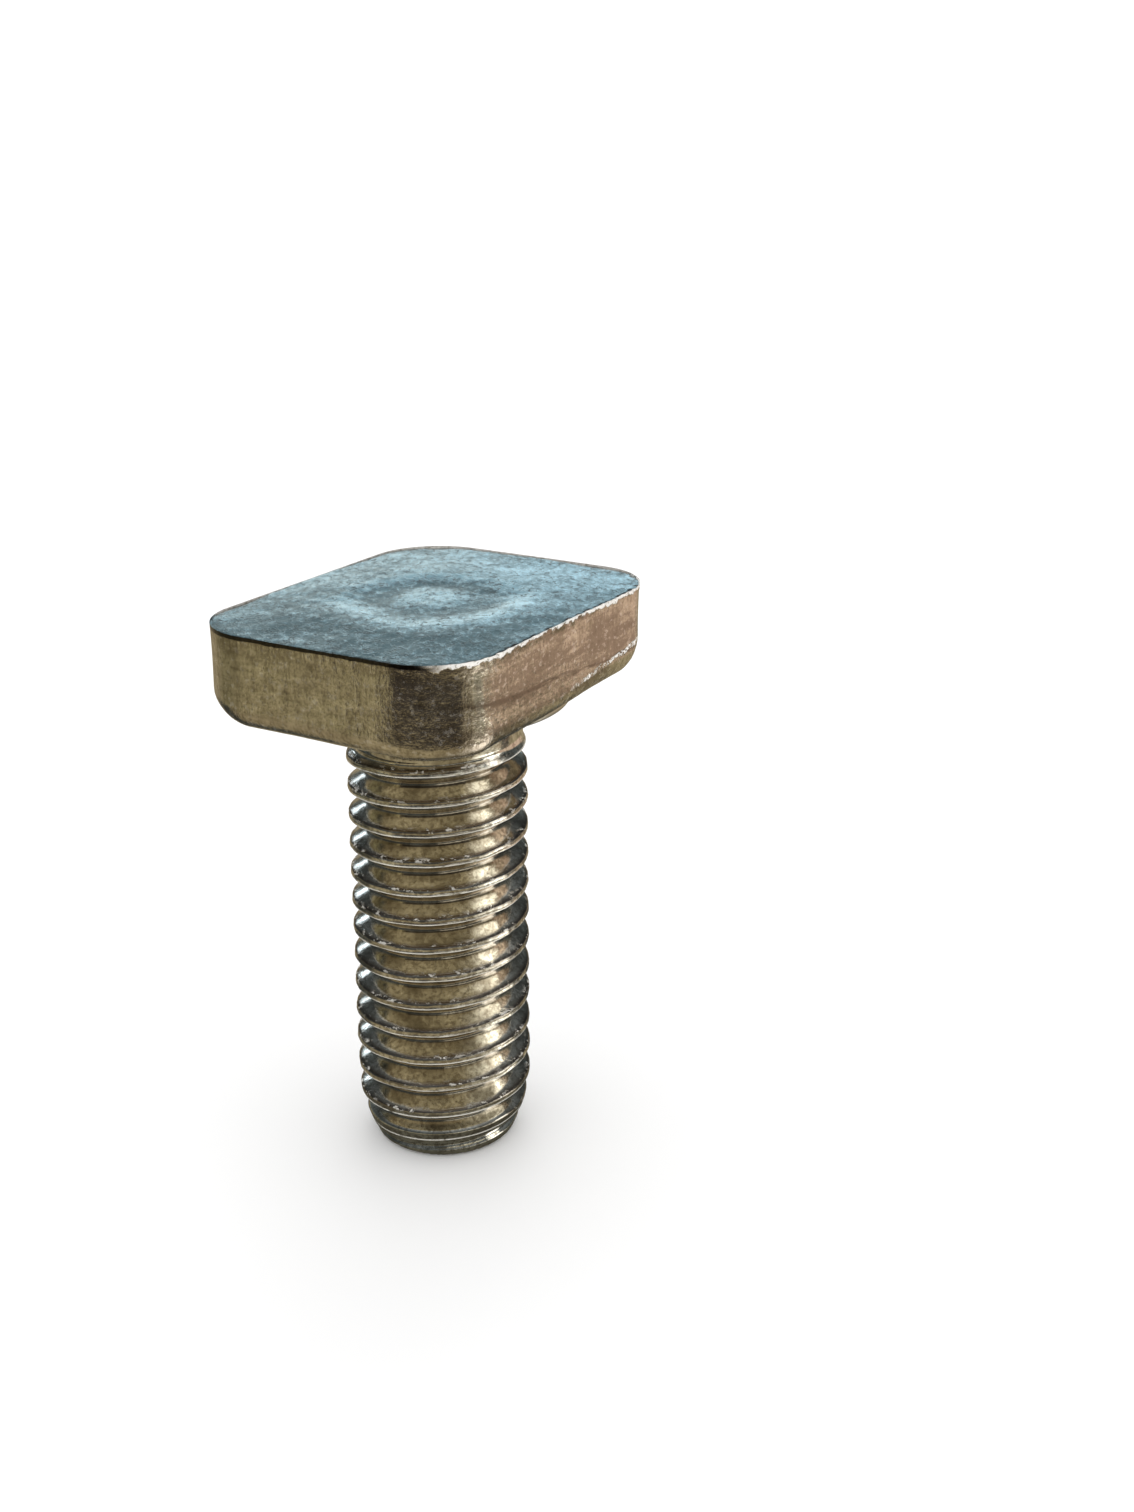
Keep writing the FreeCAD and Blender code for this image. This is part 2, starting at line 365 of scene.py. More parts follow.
def outline(count):
    """Points of a rounded rectangle at equal steps along its edge, the directions that face
    outwards there, and the angles of those directions. Steps are counted from the middle of the
    +X side, anticlockwise."""
    straight_x, straight_y = 2 * (HEAD_X - CORNER), 2 * (HEAD_Y - CORNER)
    quarter = CORNER * np.pi / 2
    lengths = np.array([straight_y / 2, quarter, straight_x, quarter, straight_y, quarter,
                        straight_x, quarter, straight_y / 2])
    ends = np.concatenate([[0], np.cumsum(lengths)])
    turned = np.array([0, 0, 1, 1, 2, 2, 3, 3, 4, 4]) * np.pi / 2
    along = np.arange(count) * ends[-1] / count
    facing = np.interp(along, ends, turned)
    outward = np.stack([np.cos(facing), np.sin(facing)], axis=-1)
    # on a straight run, the point slides between the two corner centres at its ends
    side_x = np.array([1, 1, 1, -1, -1, -1, -1, 1, 1, 1])
    side_y = np.array([0, 1, 1, 1, 1, -1, -1, -1, -1, 0])
    middle_x = np.interp(along, ends, side_x * (HEAD_X - CORNER))
    middle_y = np.interp(along, ends, side_y * (HEAD_Y - CORNER))
    middle = np.stack([middle_x, middle_y], axis=-1)
    return middle + CORNER * outward, outward, facing


edge, outward, facing = outline(SIDES)
print("edge of the head:", round(float(np.linalg.norm(np.roll(edge, -1, 0) - edge, axis=1).sum()), 2), "mm")

# %% [markdown]
# ## The soft lower edge
#
# The die gives the underside a soft edge. It grows towards the corners, where the steel never
# quite fills the die. It doesn't fill all corners alike either: on this bolt the corner between
# +X and +Y was filled least, and the one between +X and -Y best. A Bevel modifier would need a
# weight on every edge for this, so the height of the rounding is a formula of its place.

# %% Height of the lower rounding
def rounding(edge, facing):
    """Height of the soft lower edge: larger at the corners, and most of all towards the corner
    between +X and +Y, which the steel left unfilled. The corner between +X and -Y was filled best
    and is the crispest. The sine of twice the angle, squared, is 0 on the flat sides and 1 at the
    middle of each corner."""
    at_corner = np.sin(2 * facing) ** 2
    unfilled = smooth_steps(edge[:, 0], 4.2, 4.85) * smooth_steps(edge[:, 1], -1.6, 5.0)
    filled = smooth_steps(edge[:, 0], 2.4, 4.2) * smooth_steps(-edge[:, 1], 3.8, 5.6)
    return 0.62 + 0.30 * at_corner + 0.50 * unfilled - 0.42 * filled


lower_round = rounding(edge, facing)
print("lower rounding:", round(float(lower_round.min()), 2), "to", round(float(lower_round.max()), 2), "mm")

# %% [markdown]
# ## Rows of the head
#
# The punch leaves circles in the top, and the outline is a rounded rectangle. So the first rows
# are circles close together, which can carry the punch's rings, and the next ones change from a
# circle to the outline. The side falls straight, with rows enough for the torn burr at its top.

# %% Grid of the head
CIRCLES, CIRCLES_END = 34, 3.3  # rows round the dish and the radius of the last one
SPREAD_ROWS = 15  # rows from there out to the edge
TOP_ROWS = 1 + CIRCLES + SPREAD_ROWS
UNDER_ROWS = 4  # rows of the flat underside, in to the axis


def head_rows(edge, outward, lower_round):
    """Grid of points, rows by columns. In the top, the rows change from circles round the dish to
    the outline of the head. The side falls straight, and a quarter of an ellipse, wider at the
    corners, turns it into the underside."""
    def row(plan, z):
        return np.column_stack([plan, np.broadcast_to(z, len(edge))])

    polar = np.arctan2(edge[:, 1], edge[:, 0])
    unit = np.stack([np.cos(polar), np.sin(polar)], axis=-1)
    reach = np.linalg.norm(edge - outward * TOP_EDGE, axis=1)
    rows = [row(unit * r, HEAD_TOP) for r in [0.0, *np.linspace(0.12, CIRCLES_END, CIRCLES)]]
    for s in np.linspace(0, 1, SPREAD_ROWS + 1)[1:]:
        rows.append(row(unit * (CIRCLES_END + (reach - CIRCLES_END) * s)[:, None], HEAD_TOP))
    for turn in np.radians([25, 50, 75, 90]):
        inset = TOP_EDGE * (1 - np.sin(turn))
        rows.append(row(edge - outward * inset, HEAD_TOP - TOP_EDGE * (1 - np.cos(turn))))
    low = HEAD_FOOT + lower_round
    for s in np.linspace(0, 1, 15)[1:]:
        rows.append(row(edge, (HEAD_TOP - TOP_EDGE) * (1 - s) + low * s))
    for turn in np.radians(np.linspace(0, 90, 11)[1:]):
        inset = np.minimum(lower_round * 1.05, 0.95) * (1 - np.cos(turn))
        rows.append(row(edge - outward * inset[:, None], low - lower_round * np.sin(turn)))
    inner = rows[-1][:, :2]
    rows += [row(inner * s, HEAD_FOOT) for s in (0.75, 0.5, 0.25, 0.0)]
    return np.array(rows)


head = head_rows(edge, outward, lower_round)
print("grid of the head, rows by columns:", head.shape[:2])

# %% [markdown]
# ## Marks of the punch
#
# The punch that strikes the head is slightly domed and has a rounded tip. It leaves a shallow
# dish with a raised button in its middle, a ring outside it, and a top that falls a little towards
# the corners. A texture could shade such a dish, but its light would be wrong from other sides, so
# the points themselves move.

# %% Shape of the top
def wander_of(grid):
    """The field by which the punch's rings stray from true circles, with a spread of about 1."""
    return ripple(grid * [1, 1, 0], waves(21, 16, 2.5, 7.0))


def press_marks(grid):
    """Moves the top: the dish with its soft step, the rings of the punch, and a slight crown."""
    x, y, z = grid[..., 0], grid[..., 1], grid[..., 2]
    r = np.hypot(x, y)
    wander = wander_of(grid)
    uneven = r + 0.10 * wander
    dish = -DISH_DEPTH * (1 - smooth_steps(uneven, DISH - 1.3, DISH + 0.25))
    button = 0.022 * (1 - smooth_steps(uneven, 0.6, 1.6))
    ring = 0.010 * bell(uneven - 3.9, 0.4)
    swell = 0.008 * wander + 0.003 * ripple(grid * [1, 1, 0], waves(22, 40, 0.5, 1.4))
    crown = -0.075 * smooth_steps(r, 2.8, 6.6)
    on_top = smooth_steps(z, HEAD_TOP - 0.06, HEAD_TOP - 0.001)
    return on_top * np.minimum(dish + button + ring + swell + crown - 0.016, 0)


top_moves = press_marks(head)
head[..., 2] += top_moves
print("deepest mark in the top:", round(float(-top_moves.min()), 3), "mm")

# %% [markdown]
# ## Marks of the shear
#
# The trimming tool shears the four sides from above, which leaves upright lines and broad shallow
# waves. On one side its edge was worn, so the steel tore, and a ragged burr stands along the top
# edge there. Sculpting would give the same, but it couldn't be repeated exactly.

# %% Shape of the sides
def side_marks(grid, outward, burr):
    """Moves the sides inwards: upright lines of the shear, and broad shallow waves. Under the
    burr the side steps back, so that the burr stands proud of it."""
    sheared = grid * [1, 1, 0.04]
    lines = 0.0025 * ripple(sheared, waves(31, 30, 0.3, 0.9))
    broad = 0.012 * ripple(grid, waves(32, 12, 2.0, 7.0))
    drop = grid[0, :, 2] - grid[..., 2]
    below_edge = smooth_steps(drop, 0.0, 0.25)
    torn = 0.03 * ripple(grid, waves(33, 40, 0.2, 0.6)) * burr * bell(drop, 0.10)
    depth = np.clip((0.02 + lines + broad) * (0.35 + 0.65 * below_edge) + torn, 0, None)
    return -outward * (depth + 0.03 * burr * below_edge)[..., None]


signed = (facing + np.pi) % (2 * np.pi) - np.pi
burr = smooth_steps(signed, -1.05, -0.70) * (1 - smooth_steps(signed, 0.7, 1.2))
side = head[TOP_ROWS:-UNDER_ROWS]
side[..., :2] += side_marks(side, outward, burr)
print("share of the edge with a burr:", round(float((burr > 0.5).mean()), 2))

# %% [markdown]
# ## Painted reflection on the top
#
# The colour of the top carries a painted reflection of the dish: a bright middle, a darker ring
# round it, then a bright ring at the rim of the dish, and outside that a darker front of the top.
# This is worked out on the mesh too, because it follows the same rings as the shape.

# %% Painted reflection on the top
def painted_top_reflection(grid):
    """Painted reflection on the top, from -1 for dark to 1 for bright: a bright middle, a darker ring
    round it, a bright ring at the rim of the dish and a darker band outside that."""
    x, y = grid[..., 0], grid[..., 1]
    wander = wander_of(grid)
    patchy = ripple(grid * [1, 1, 0], waves(23, 24, 1.2, 3.5))
    r = np.hypot(x, y) + 0.10 * wander
    tone = 0.8 * bell(r - 0.3, 0.75) - 0.75 * bell(r - 1.65, 0.5)
    # Painted highlight: the bright ring at the rim of the dish grows brighter towards +Y.
    ring = 0.75 + 0.25 * patchy + 0.55 * smooth_steps(y, 0.0, 2.4)
    tone = tone + ring * bell(r - 2.75, 0.38)
    front = smooth_steps(0.53 * x - 0.85 * y, -4.0, 5.5)
    tone = tone - (0.95 * front - 0.15) * smooth_steps(r, 3.1, 3.9)
    streaks = ripple(np.stack([r, 0.25 * x, 0.25 * y], axis=-1), waves(24, 24, 0.25, 0.8))
    return np.clip(tone + 0.16 * patchy + 0.14 * streaks, -1.2, 1.2)


top_painted_reflection = painted_top_reflection(head)
print("tone of the top:", np.round([top_painted_reflection[:TOP_ROWS].min(), top_painted_reflection[:TOP_ROWS].max()], 2))

# %% [markdown]
# ## What the head tells its finish
#
# The finish needs to know the top from the sides, how far below the edge a point lies, where the
# burr and the painted shadow line along the edge run, and how far a point is from the crease where
# the unfilled edge starts.

# %% Fields of the head
rows, columns = head.shape[:2]
# Painted shadow: where the thin black line along the upper edge of the -Y side runs.
dark_line = smooth_steps(signed, -2.95, -2.6) * (1 - smooth_steps(signed, -1.15, -0.95))
unfilled_side = smooth_steps(edge[:, 0], 4.6, 4.9) * smooth_steps(edge[:, 1], -0.5, 1.5)
head_fields = {
    "top": np.repeat(np.arange(rows) < TOP_ROWS, columns) * 1.0,
    # tone: the painted reflection of the top
    "tone": top_painted_reflection,
    "drop": head[TOP_ROWS - 1, :, 2] - head[..., 2],
    "crease": head[..., 2] - (HEAD_FOOT + lower_round),
    "burr": np.tile(burr, rows),
    "dark_line": np.tile(dark_line, rows),
    "unfilled": np.tile(unfilled_side, rows),
}
print("fields of the head:", ", ".join(head_fields))

# %% [markdown]
# The grid closes round the axis as the thread's does, but its rows are level, so each point
# joins the one beside it in the same row. The rows run downwards here, so the quads are turned
# over to face outwards.

# %% Skin of the head
def ring_faces(rows, columns):
    """Quads between neighbouring rows of a grid that closes round the axis. Rows run outwards or
    upwards, columns run anticlockwise seen from above."""
    row, column = np.meshgrid(np.arange(rows - 1), np.arange(columns), indexing="ij")
    right = (column + 1) % columns
    quads = [row * columns + column, row * columns + right,
             (row + 1) * columns + right, (row + 1) * columns + column]
    return np.stack(quads, axis=-1).reshape(-1, 4)


forged = skin("forged_head", head.reshape(-1, 3), ring_faces(rows, columns)[:, ::-1], **head_fields)

# %% [markdown]
# ## The bearing face
#
# Under the head stands a low round face, like a washer that is part of the bolt. It is a plain
# turned shape, so its profile is carried once round the axis, as the Spin tool would do it. Its
# top is hidden inside the head.

# %% Turn the bearing face
WASHER_ROUND = 0.16


def turned(name, profile, count):
    """Carry a profile of (radius, height) points round the axis, from the lower end upwards."""
    angles = np.arange(count) * 2 * np.pi / count
    r, z = profile[:, 0][:, None], profile[:, 1][:, None]
    grid = np.stack([r * np.cos(angles), r * np.sin(angles), z + 0 * angles], axis=-1)
    return skin(name, grid.reshape(-1, 3), ring_faces(len(profile), count))


soft = np.radians(np.linspace(0, 90, 7))
washer_profile = np.concatenate([
    [(0.0, BEARING), (2.4, BEARING), (3.0, BEARING), (3.7, BEARING)],
    np.column_stack([WASHER - WASHER_ROUND + WASHER_ROUND * np.sin(soft),
                     BEARING + WASHER_ROUND - WASHER_ROUND * np.cos(soft)]),
    [(WASHER, HEAD_FOOT), (WASHER - 0.02, HEAD_FOOT + 0.25), (0.0, HEAD_FOOT + 0.3)],
])
washer = turned("bearing_face", washer_profile, 160)

# %% [markdown]
# ## Writing a finish as sums
#
# A finish is a tree of nodes, and most of it is arithmetic. One small class wraps a socket, so
# that an expression such as 1 - mask adds the Math node for it. Every other node comes from one
# method that takes the node's type, its settings and what goes into its sockets.

# %% Sockets that take part in sums
class Signal:
    """A number that varies over the surface: one output socket of a node."""

    def __init__(self, nodes, socket):
        self.nodes, self.socket = nodes, socket

    def _math(self, operation, *values):
        return self.nodes.add("ShaderNodeMath", {"operation": operation}, dict(enumerate(values)))

    def __add__(self, other):
        return self._math("ADD", self, other)

    def __radd__(self, other):
        return self._math("ADD", other, self)

    def __sub__(self, other):
        return self._math("SUBTRACT", self, other)

    def __rsub__(self, other):
        return self._math("SUBTRACT", other, self)

    def __mul__(self, other):
        return self._math("MULTIPLY", self, other)

    def __rmul__(self, other):
        return self._math("MULTIPLY", other, self)

    def __abs__(self):
        return self._math("ABSOLUTE", self)

    def larger(self, other):
        """The larger of two."""
        return self._math("MAXIMUM", self, other)

    def step(self, low, high):
        """0 at low, 1 at high, soft between. It falls where low is the larger of the two."""
        return self.nodes.add("ShaderNodeMapRange", {"interpolation_type": "SMOOTHSTEP"},
                              {"Value": self, "From Min": low, "From Max": high})


print("a signal can be added, subtracted, multiplied, compared and stepped")

# %% [markdown]
# ## One method for every other node
#
# A ramp's stops and a Math node's operation are settings, and they are set first. A value that
# goes into a socket is either a signal, which is linked, or a plain number, colour or vector,
# which becomes the socket's own value.

# %% The tree of a finish
class Nodes:
    """The node tree of one finish or of the world."""

    def __init__(self, tree):
        self.tree = tree
        tree.nodes.clear()

    def add(self, kind, settings=None, inputs=None, output=0):
        """Add a node, set it up, feed its sockets and return one of its outputs."""
        node = self.tree.nodes.new(kind)
        for name, value in (settings or {}).items():
            if name == "stops":
                ramp = node.color_ramp
                while len(ramp.elements) < len(value):
                    ramp.elements.new(0.5)
                for element, (place, colour) in zip(ramp.elements, value):
                    element.position, element.color = place, (*colour, 1)
            else:
                setattr(node, name, value)
        for name, value in (inputs or {}).items():
            if isinstance(value, Signal):
                self.tree.links.new(value.socket, node.inputs[name])
            else:
                node.inputs[name].default_value = value
        return Signal(self, node.outputs[output]) if node.outputs else node

    def mix(self, factor, first, second):
        """First colour where factor is 0, second where it is 1."""
        colours = {key: (*value, 1) if isinstance(value, tuple) else value
                   for key, value in ((6, first), (7, second))}
        return self.add("ShaderNodeMix", {"data_type": "RGBA"}, {0: factor, **colours}, output=2)

    def noise(self, place, scale, detail=2.0, rough=0.5):
        """Cloudy noise from 0 to 1, with scale in lumps per mm."""
        return self.add("ShaderNodeTexNoise", {}, {"Vector": place, "Scale": scale,
                                                   "Detail": detail, "Roughness": rough})

    def stretch(self, place, factors):
        """Place, with each of its directions scaled."""
        return self.add("ShaderNodeVectorMath", {"operation": "MULTIPLY"}, {0: place, 1: factors})

    def parts(self, vector):
        """The three parts of a vector, along X, Y and Z."""
        first = self.add("ShaderNodeSeparateXYZ", {}, {0: vector})
        return [Signal(self, socket) for socket in first.socket.node.outputs]

    def turn(self, x, y):
        """The angle of the direction (x, y) in radians, anticlockwise from X."""
        return self.add("ShaderNodeMath", {"operation": "ARCTAN2"}, {0: y, 1: x})

    def field(self, name):
        """A number that the piece carries at its points."""
        return self.add("ShaderNodeAttribute", {"attribute_name": name}, {}, output=2)


print("each finish starts from an empty tree")

# %% [markdown]
# ## Bare steel
#
# All three pieces are the same steel with different marks, so they share one shader. Polished
# steel is fully metallic. Torn or rubbed metal is a heap of tiny facets that scatter the light
# like chalk, and the simplest honest way to show it is to make it less metallic there.

# %% Start and end of a finish
def finish(name):
    """A new material, its nodes, and the place on the object counted in mm."""
    material = bpy.data.materials.new(name)
    material.use_nodes = True
    nodes = Nodes(material.node_tree)
    place = nodes.add("ShaderNodeTexCoord", output=3)
    return material, nodes, nodes.stretch(place, (1000, 1000, 1000))


def steel(nodes, colour, roughness, height, depth, metallic=1.0):
    """Bare metal with its colour, roughness and relief. Depth is in mm."""
    relief = nodes.add("ShaderNodeBump", {}, {"Strength": 1.0, "Distance": depth * MM,
                                              "Height": height})
    shader = nodes.add("ShaderNodeBsdfPrincipled", {}, {
        "Base Color": colour, "Roughness": roughness, "Metallic": metallic, "Normal": relief})
    nodes.add("ShaderNodeOutputMaterial", {}, {"Surface": shader})
    print("nodes in this finish:", len(nodes.tree.nodes))


print("pieces that wait for a finish:", thread.name, forged.name, washer.name)

# %% [markdown]
# ## Finish of the head: the struck top
#
# The punch crushed the scale on the wire into the top. It left small matt islands, all drawn out
# along one diagonal, with fine brighter veins between them and a few thin dark cracks. One noise
# would look like clouds, so several are laid over each other: grain, islands, veins where a noise
# passes its middle, and cracks, which are made like the veins but much thinner and broken.

# %% Crackle of the top
material, nodes, place = finish("forged_steel")
top, burr_side, drop = nodes.field("top"), nodes.field("burr"), nodes.field("drop")
grain = nodes.noise(place, 3.0, 4, 0.55)
fine = nodes.noise(place, 9.0, 4, 0.6)
drawn = nodes.add("ShaderNodeMapping", {"vector_type": "TEXTURE"}, {
    "Vector": place, "Rotation": (0, 0, math.radians(32)), "Scale": (1, 2.2, 1)})
islands = nodes.noise(drawn, 5.0, 3, 0.6)
vein = 1 - abs(nodes.noise(drawn, 3.0, 4, 0.6) - 0.5).step(0.0, 0.05)
crack = 1 - abs(nodes.noise(place, 1.7, 4, 0.6) - 0.5).step(0.006, 0.020)
crack = crack * nodes.noise(place, 2.6, 2).step(0.48, 0.54)
top_height = grain * 0.16 + islands * 0.20 + vein * 0.10 - crack * 0.5

# %% [markdown]
# The painted reflection that the mesh carries as its tone and the crackle add up to one number,
# and that number says how far the colour goes from matt steel to bright steel. The cracks are
# darkened last.

# %% Colour of the top
MATT_TOP, BRIGHT_TOP = (0.30, 0.295, 0.285), (0.93, 0.97, 0.99)
# The tone is a painted reflection; BRIGHT_TOP, a little cool, is its bright end.
tone = nodes.field("tone") * 0.50 + 0.43
tone = tone + (grain - 0.5) * 1.2 + (islands - 0.5) * 1.75 + vein * 0.20
steel_top = nodes.mix(tone.step(-0.1, 1.1), MATT_TOP, BRIGHT_TOP)
steel_top = nodes.mix(crack * 0.8, steel_top, (0.09, 0.09, 0.09))
print("the top runs from", MATT_TOP, "to", BRIGHT_TOP)

# %% [markdown]
# ## Finish of the head: the sheared sides
#
# The sides were sheared and then rubbed in handling. Upright and level scratches cross like a
# weave, which is two noises stretched along different directions. On the +X side lie brown
# stains and painted glints, small bright specks of highlight, and on the other sides the shear
# smeared dark metal down from the edge.

# %% Weave and stains of the sides
upright = nodes.noise(nodes.stretch(place, (7.5, 7.5, 0.7)), 1.0, 4, 0.65)
level_lines = nodes.noise(nodes.stretch(place, (0.9, 0.9, 7.0)), 1.0, 4, 0.65)
stain = nodes.noise(nodes.stretch(place, (0.55, 0.35, 1.9)), 1.0, 5, 0.62)
side_height = upright * 0.15 + level_lines * 0.15 + grain * 0.5 + fine * 0.25
weave = upright * 0.22 + level_lines * 0.18 + fine * 0.36 + grain * 0.24
steel_side = nodes.mix(weave.step(0.37, 0.62), (0.40, 0.36, 0.29), (0.94, 0.89, 0.79))
place_x, place_y, place_z = nodes.parts(place)
on_x_side = place_x.step(3.6, 4.8)
stain_mask = (stain * 0.6 + fine * 0.4).step(0.46, 0.54) * (0.25 + on_x_side * 0.50)
steel_side = nodes.mix(stain_mask, steel_side, (0.30, 0.25, 0.21))
smear = upright.step(0.46, 0.58) * (1 - drop.step(0.1, 0.9)) * (1 - on_x_side)
steel_side = nodes.mix(smear * 0.55, steel_side, (0.22, 0.18, 0.13))
# Painted highlight: small bright glints on the +X side, also made a little less metallic.
painted_glint = nodes.noise(nodes.stretch(place, (6, 4, 6)), 1.0, 3, 0.6).step(0.56, 0.66)
steel_side = nodes.mix(on_x_side * painted_glint * 0.45, steel_side, (0.98, 0.93, 0.88))

# %% [markdown]
# One long broken scratch runs along the +X side and sinks a little towards +Y. It is a straight,
# slightly sloping line, bent by the noise of the stains and broken by the level lines, so it
# needs no image.

# %% Scratch on the +X side
SCRATCH_HEIGHT, SCRATCH_SLOPE = 17.05, 0.07
scratch = place_z + place_y * SCRATCH_SLOPE - SCRATCH_HEIGHT + (stain - 0.5) * 0.6
scratch = (1 - abs(scratch).step(0.03, 0.14)) * on_x_side * level_lines.step(0.40, 0.50)
steel_side = nodes.mix(scratch * 0.75, steel_side, (0.20, 0.16, 0.13))
print("the scratch crosses the middle of the side", SCRATCH_HEIGHT, "mm above the end")

# %% [markdown]
# ## Finish of the head: the edges
#
# The burr is torn bright metal, with a ragged lower border that two noises set. Along -Y the
# upper edge carries a painted shadow, a thin black line. Every other edge is worn a little. The
# crease of the unfilled edge has bright torn crumbs.

# %% Burr, painted shadow line and crease
ragged = fine * 0.12 + nodes.noise(place, 1.6, 3) * 0.34
torn = nodes.noise(place, 3.0, 4, 0.7)
chips = nodes.noise(place, 1.5, 3, 0.6)
dark_line = nodes.field("dark_line")
burr_depth = torn * 0.30 + chips * 0.36 - 0.24
burr_mask = burr_side * (1 - top) * (burr_depth - drop).step(-0.01, 0.03)
# Painted shadow: a thin black line just under the upper edge along -Y.
painted_shadow_edge = dark_line * (1 - top) * (0.04 + torn * 0.10 - drop).step(-0.02, 0.01)
worn_edge = (1 - top) * (1 - burr_side) * (1 - dark_line) * (1 - drop.step(0.0, 0.06))
crease = 1 - abs(nodes.field("crease") + ragged - 0.23).step(0.04, 0.10)
crumbs = fine.step(0.42, 0.50) * chips.step(0.38, 0.48)
bright = burr_mask.larger(nodes.field("unfilled") * crease * crumbs).larger(worn_edge * 0.5)

# %% [markdown]
# The finishes are laid over each other like coats of paint: the sides with the painted shadow
# line along their edge first, then the top, then the bright torn metal.

# %% Put the head's finish together
torn_colour = nodes.mix(fine.step(0.34, 0.48), (0.46, 0.42, 0.36), (1.0, 0.98, 0.94))
# The painted shadow line goes on first, nearly black.
colour = nodes.mix(painted_shadow_edge * 0.95, steel_side, (0.03, 0.025, 0.02))
colour = nodes.mix(top, colour, steel_top)
colour = nodes.mix(bright, colour, torn_colour)
height = top_height * top + side_height * (1 - top) + fine * bright
roughness = (0.13 + fine * 0.10) * (1 - top) + (0.15 + grain * 0.12) * top + bright * 0.25
metallic = 1 - bright * 0.75 - painted_glint * (1 - top) * 0.08
steel(nodes, colour, roughness, height, 0.04, metallic)
forged.data.materials.append(material)

# %% [markdown]
# ## Finish of the thread
#
# The dies polish the flanks nearly to a mirror, and leave the crest rough, where the steel folded
# over itself. The upper lip is a dark line with raised folds, in places only, that carry painted
# glints. A thin painted highlight runs along the lower lip, and the roots carry painted shade. The
# fields of the mesh say where each of these is, and noises break them up.

# %% Marks along each turn
material, nodes, place = finish("rolled_steel")
crest, lip, root = nodes.field("crest"), nodes.field("upper_lip"), nodes.field("root")
smudge = nodes.noise(place, 0.9, 5, 0.62)
scuff = nodes.noise(place, 6.0, 4, 0.65)
patchy = nodes.noise(place, 0.7, 2)
flecks = nodes.noise(nodes.stretch(place, (3.2, 3.2, 8.0)), 1.0, 4, 0.65)
fold_and_glint = lip * flecks.step(0.54, 0.60) * patchy.step(0.40, 0.56)
painted_lip_highlight = nodes.field("lower_lip") * nodes.noise(place, 1.6, 4, 0.7).step(0.28, 0.44)
height = smudge * 0.5 + scuff * (0.10 + crest * 0.18) + fold_and_glint * 0.8

# %% [markdown]
# The colours of the thread go on in the same way: the polished flanks first, then the painted
# shade in the roots, the scuffs, the dark lip and the dull crest, and last the painted glints on the
# folds and the painted highlight on the lower lip.

# %% Rolled steel
colour = nodes.mix(smudge.step(0.32, 0.62), (0.50, 0.475, 0.42), (0.96, 0.945, 0.88))
# Painted shade in the roots, under each crest.
colour = nodes.mix(root * 0.55, colour, (0.34, 0.27, 0.20))
colour = nodes.mix(scuff.step(0.48, 0.60) * 0.60, colour, (0.36, 0.32, 0.265))
colour = nodes.mix(lip * (1 - scuff.step(0.54, 0.64)) * 0.88, colour, (0.13, 0.085, 0.06))
colour = nodes.mix(crest * scuff.step(0.40, 0.56) * 0.40, colour, (0.34, 0.30, 0.25))
# Painted glints on the folds of the upper lip.
colour = nodes.mix(fold_and_glint, colour, (0.95, 0.93, 0.88))
# Painted highlight: a thin bright line along the lower lip, also made less metallic.
colour = nodes.mix(painted_lip_highlight, colour, (0.97, 0.94, 0.86))
roughness = 0.07 + smudge * 0.08 + crest * 0.12 + root * 0.06 + fold_and_glint * 0.2
steel(nodes, colour, roughness, height, 0.02, 1 - fold_and_glint * 0.6 - painted_lip_highlight * 0.75)
thread.data.materials.append(material)

# %% [markdown]
# ## Finish of the bearing face
#
# The die that struck the head pressed this face too. It has no rings and no torn places, only a
# soft cloudiness, and it is a little duller than the flanks.

# %% Pressed steel
material, nodes, place = finish("pressed_steel")
smudge = nodes.noise(place, 1.2, 5, 0.6)
colour = nodes.mix(smudge, (0.55, 0.52, 0.46), (0.70, 0.67, 0.60))
steel(nodes, colour, 0.24 + smudge * 0.16, smudge, 0.02)
washer.data.materials.append(material)

# %% [markdown]
# ## The floor
#
# The bolt stands on a plain pale floor, which is there for its soft shadow. Mirror rays pass
# through it, because what the steel mirrors is painted apart from it, further on.

# %% Floor
DISC_RADIUS = 3.0  # metres


def disc(name):
    """A flat disc at the height of the bolt's end, far larger than the view."""
    angles = np.arange(96) * 2 * np.pi / 96
    ring = np.column_stack([np.cos(angles), np.sin(angles), 0 * angles]) * DISC_RADIUS
    mesh = bpy.data.meshes.new(name)
    mesh.from_pydata(ring.tolist(), [], [list(range(96))])
    ground = bpy.data.objects.new(name, mesh)
    bpy.context.collection.objects.link(ground)
    return ground


floor = disc("floor")
floor.visible_glossy = False
material, nodes, place = finish("pale_floor")
cloud = nodes.noise(place, 0.04)
colour = nodes.mix(cloud, (0.93, 0.93, 0.93), (0.95, 0.95, 0.95))
shader = nodes.add("ShaderNodeBsdfPrincipled", {}, {"Base Color": colour, "Roughness": 0.9,
                                                    "Specular IOR Level": 0.0})
nodes.add("ShaderNodeOutputMaterial", {}, {"Surface": shader})
floor.data.materials.append(material)
print("the floor is", 2 * DISC_RADIUS, "m across")

# %% [markdown]
# ## What the steel mirrors above it
#
# Bare steel has hardly any colour of its own: it shows what stands round it. In the photo the top
# of the head mirrors cool daylight from behind, and the sides and the thread mirror something warm
# below. Walls and windows could be built for this, but a painted sky is simpler: each window is a
# range of directions on the world, for mirror rays alone. Other rays see plain white, so that the
# floor is evenly pale and the shadow is soft.

